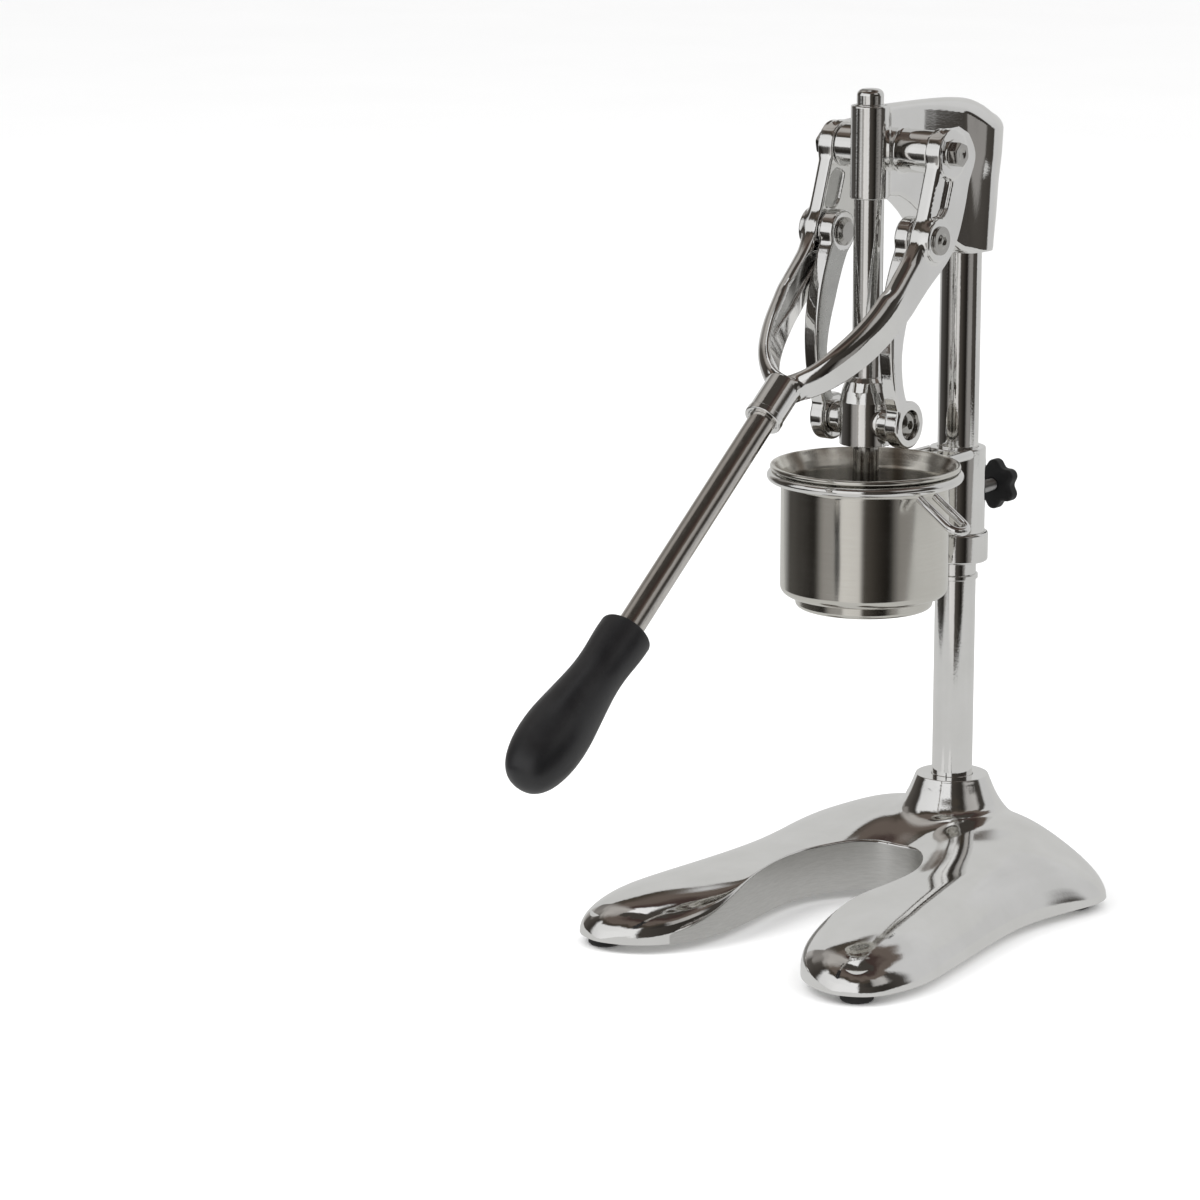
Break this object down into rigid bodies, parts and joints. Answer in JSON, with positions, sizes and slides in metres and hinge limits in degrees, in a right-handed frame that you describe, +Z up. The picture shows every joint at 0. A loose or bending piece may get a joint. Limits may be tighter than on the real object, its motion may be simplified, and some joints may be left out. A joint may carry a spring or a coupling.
{
  "type": "lever press",
  "caption": "Hand-lever press on a horseshoe foot: forked lever and bowed links drive a guided rod and press disc into a removable cup with a die plate.",
  "frame": {"origin": "on the surface that the feet rest on, under the middle of the whole object at rest", "axes": "+Z up, the lever points to -Y, +X to the right of someone who faces +Y; the symmetry plane is X = 0"},
  "size_m": [0.2346, 0.4914, 0.511],
  "materials": {
    "chrome_casting": "chromed and polished casting",
    "chrome_steel": "chromed steel",
    "stainless": "satin polished stainless steel",
    "plain_steel": "zinc plated",
    "black_screw": "black oxide",
    "grip_black": "smooth satin black",
    "knob_black": "moulded black",
    "foot_rubber": "moulded rubber"
  },
  "bodies": {
    "stand": {"base_casting": "chrome_casting", "rubber_feet": "foot_rubber", "foot_screws": "plain_steel", "column_tube": "chrome_steel", "column_plug": "plain_steel", "column_bolt": "plain_steel", "column_washer": "plain_steel", "stop_ring": "chrome_steel", "head_casting": "chrome_casting", "head_screw": "black_screw"},
    "lever": {"fork_lever": "chrome_casting", "pivot_shaft": "plain_steel", "pivot_bolts": "chrome_steel", "pivot_washers": "chrome_steel", "link_top_bolts": "chrome_steel", "handle_tube": "stainless", "tube_screw": "black_screw", "grip": "grip_black"},
    "link_right_body": {"link_right": "chrome_casting", "right_link_bolt": "chrome_steel"},
    "link_left_body": {"link_left": "chrome_casting", "left_link_bolt": "chrome_steel"},
    "plunger": {"plunger_rod": "chrome_steel", "rod_cap": "chrome_steel", "crosshead": "chrome_casting", "crosshead_screw": "black_screw", "press_disc": "stainless", "disc_screw": "plain_steel"},
    "holder": {"holder_sleeve": "chrome_steel", "holder_collar": "chrome_steel", "support_ring": "chrome_steel", "rest_loop": "chrome_steel"},
    "knob": {"knob_screw": "plain_steel", "star_knob": "knob_black"},
    "pot": {"cup": "stainless", "die_plate": "stainless"},
    "ring": {"die_ring": "stainless"}
  },
  "joints": [
    {"name": "lever_pivot", "type": "hinge", "parent": "stand", "child": "lever", "pos_m": [0, 0.11689, 0.4731], "axis": [-1, 0, 0], "range_deg": [0, 100]},
    {"name": "link_right_pivot", "type": "hinge", "parent": "lever", "child": "link_right_body", "pos_m": [0.027, 0.10019, 0.4235], "axis": [-1, 0, 0], "range_deg": [-115.1, 0]},
    {"name": "link_left_pivot", "type": "hinge", "parent": "lever", "child": "link_left_body", "pos_m": [-0.027, 0.10019, 0.4235], "axis": [-1, 0, 0], "range_deg": [-115.1, 0]},
    {"name": "plunger_slide", "type": "slide", "parent": "stand", "child": "plunger", "axis": [0, 0, 1], "range_m": [0, 0.07685]},
    {"name": "holder_height", "type": "slide", "parent": "stand", "child": "holder", "axis": [0, 0, 1], "range_m": [-0.006, 0.008]},
    {"name": "cup_lift", "type": "slide", "parent": "holder", "child": "pot", "axis": [0, 0, 1], "range_m": [0, 0.002]},
    {"name": "die_ring_turn", "type": "hinge", "parent": "pot", "child": "ring", "pos_m": [0, 0.09379, 0.201], "axis": [0, 0, 1], "range_deg": [0, 45]},
    {"name": "knob_turn", "type": "hinge", "parent": "holder", "child": "knob", "pos_m": [0, 0.22619, 0.25], "axis": [0, 1, 0], "range_deg": [0, 360]}
  ],
  "couplings": [
    {"joint": "link_right_pivot", "follows": "lever_pivot", "ratio": -1.1509},
    {"joint": "link_left_pivot", "follows": "lever_pivot", "ratio": -1.1509},
    {"joint": "plunger_slide", "follows": "lever_pivot", "m_per_rad": 0.044025}
  ]
}
